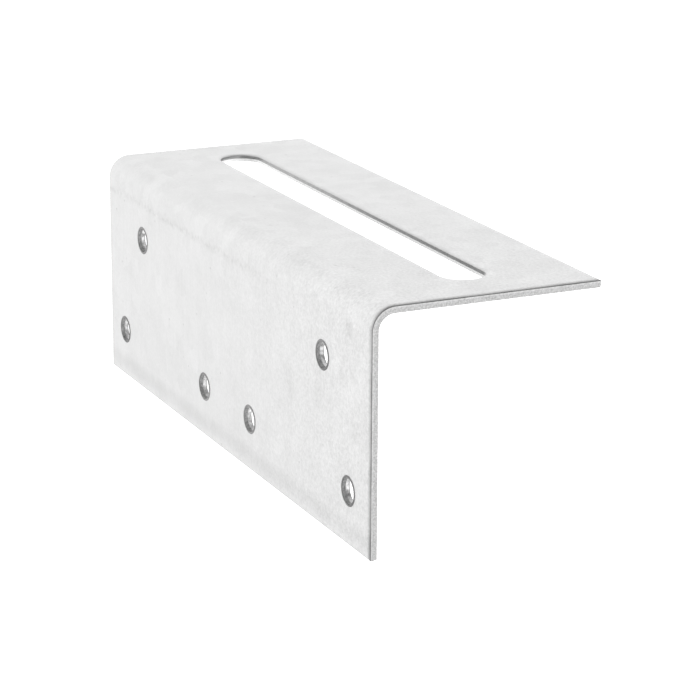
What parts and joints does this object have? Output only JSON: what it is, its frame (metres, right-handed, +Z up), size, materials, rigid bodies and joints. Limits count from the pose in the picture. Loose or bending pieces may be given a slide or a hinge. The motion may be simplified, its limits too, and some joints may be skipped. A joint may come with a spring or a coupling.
{
  "type": "roof bracket",
  "caption": "Folded galvanised steel angle bracket with round fixing holes in its upright leg and a long slot beside the fold in its flat leg.",
  "frame": {"origin": "middle of the bracket's outline seen from above (mid-length, midway across the flat leg), level with the upright leg's lower edge", "axes": "+X along the fold, +Y from the upright leg's outer face towards the flat leg's free edge, +Z up, from the upright leg's lower edge to the flat leg"},
  "size_m": [0.125, 0.044, 0.045],
  "materials": {
    "galvanised_steel": "pre-galvanised zinc coating, matt with a faint fine spangle; bare sheared edges"
  },
  "bodies": {
    "root": {"angle_plate": "galvanised_steel"}
  },
  "joints": []
}
